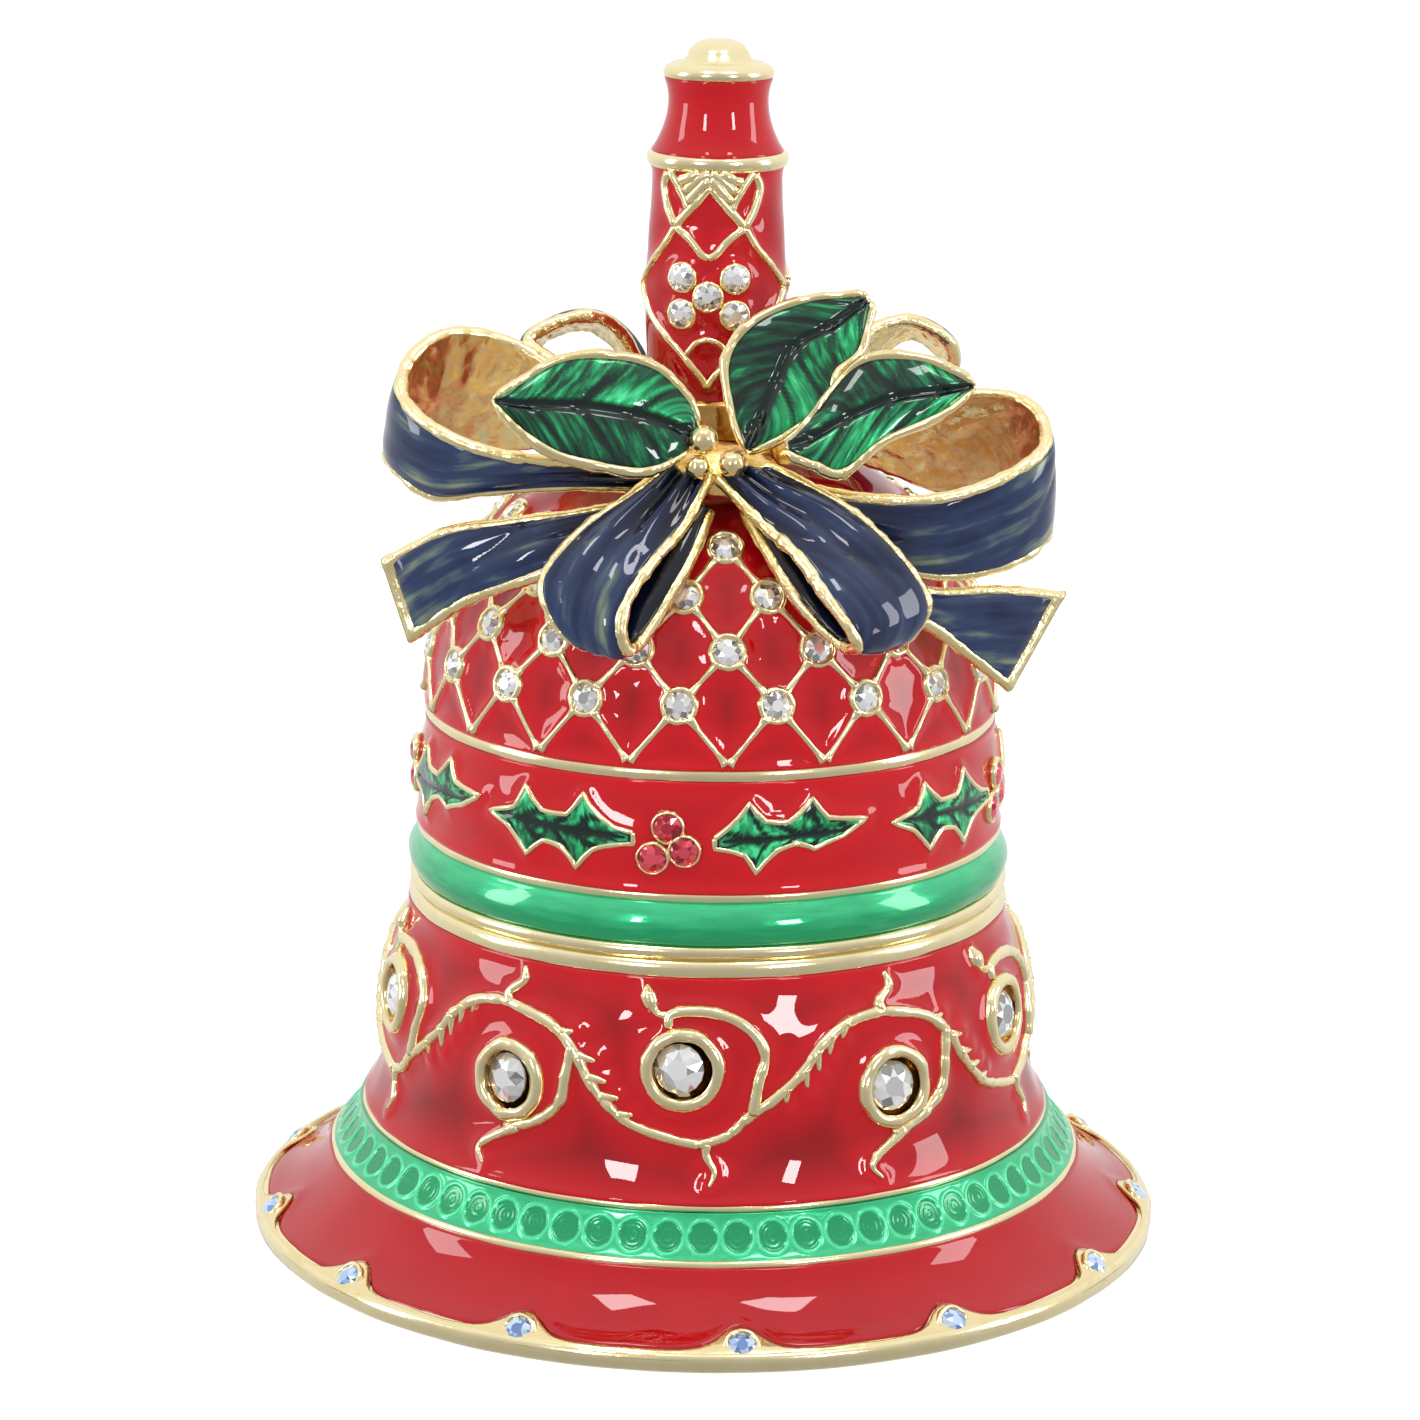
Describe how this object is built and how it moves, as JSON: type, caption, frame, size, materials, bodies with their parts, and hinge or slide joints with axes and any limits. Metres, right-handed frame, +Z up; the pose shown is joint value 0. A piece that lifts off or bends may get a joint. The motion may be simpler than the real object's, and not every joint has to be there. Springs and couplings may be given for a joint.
{
  "type": "trinket_box",
  "caption": "Hinged bell-shaped trinket box in enamelled, gold-plated cast metal with crystals, holly and a ribbon bow, opening at the waist.",
  "frame": {"origin": "centre of the underside of the foot, on the surface the box stands on", "axes": "+Z up along the bell, front with the bow towards -Y, hinge towards +Y"},
  "size_m": [0.0566, 0.0566, 0.0737],
  "materials": {
    "gold_plate": "pale gold plate over cast metal, bright on the ridges and darker in the recesses",
    "red_enamel": "glossy translucent red enamel",
    "green_enamel": "glossy translucent green enamel over textured metal",
    "navy_enamel": "glossy dark blue enamel with pale brushed streaks",
    "clear_crystal": "faceted clear crystal with a foil back",
    "pale_blue_crystal": "faceted pale blue crystal with a foil back",
    "red_crystal": "faceted red crystal with a foil back",
    "magnet": "nickel-plated magnet disc",
    "pin_steel": "turned steel pin"
  },
  "bodies": {
    "base": {"base_shell": "gold_plate", "bottom_plate": "gold_plate", "locating_collar": "gold_plate", "skirt_enamel": "red_enamel", "guilloche_band_enamel": "green_enamel", "scroll_enamel": "red_enamel", "scroll_vine": "gold_plate", "scroll_collets": "gold_plate", "scroll_crystals": "clear_crystal", "foot_crystals": "pale_blue_crystal", "base_magnet": "magnet", "hinge_base_leaf": "gold_plate", "hinge_pin": "pin_steel"},
    "lid": {"lid_shell": "gold_plate", "hinge_lid_leaf": "gold_plate", "lid_magnet": "magnet", "lid_band_enamel": "green_enamel", "holly_band_enamel": "red_enamel", "holly_leaf_frames": "gold_plate", "holly_leaf_enamel": "green_enamel", "berry_collets": "gold_plate", "berry_crystals": "red_crystal", "dome_enamel": "red_enamel", "lattice_wires": "gold_plate", "lattice_collets": "gold_plate", "lattice_crystals": "clear_crystal", "handle_core": "gold_plate", "handle_shaft_enamel": "red_enamel", "handle_neck_enamel": "red_enamel", "handle_cap": "gold_plate", "handle_wires": "gold_plate", "handle_settings": "gold_plate", "handle_crystals": "clear_crystal", "bow_knot": "gold_plate", "bow_leaf_left": "gold_plate", "bow_leaf_upper": "gold_plate", "bow_leaf_lower": "gold_plate", "bow_leaf_enamel": "green_enamel", "bow_berries": "gold_plate", "bow_loop_left": "gold_plate", "bow_loop_left_enamel": "navy_enamel", "bow_loop_right": "gold_plate", "bow_loop_right_enamel": "navy_enamel", "bow_loop_front_left": "gold_plate", "bow_loop_front_left_enamel": "navy_enamel", "bow_loop_front_right": "gold_plate", "bow_loop_front_right_enamel": "navy_enamel", "bow_loop_back_left": "gold_plate", "bow_loop_back_left_enamel": "navy_enamel", "bow_loop_back_right": "gold_plate", "bow_loop_back_right_enamel": "navy_enamel", "bow_tail_left": "gold_plate", "bow_tail_left_enamel": "navy_enamel", "bow_tail_right": "gold_plate", "bow_tail_right_enamel": "navy_enamel"}
  },
  "joints": [
    {"name": "lid_hinge", "type": "hinge", "parent": "base", "child": "lid", "pos_m": [0, 0.01985, 0.02183], "axis": [-1, 0, 0], "range_deg": [0, 95]}
  ]
}
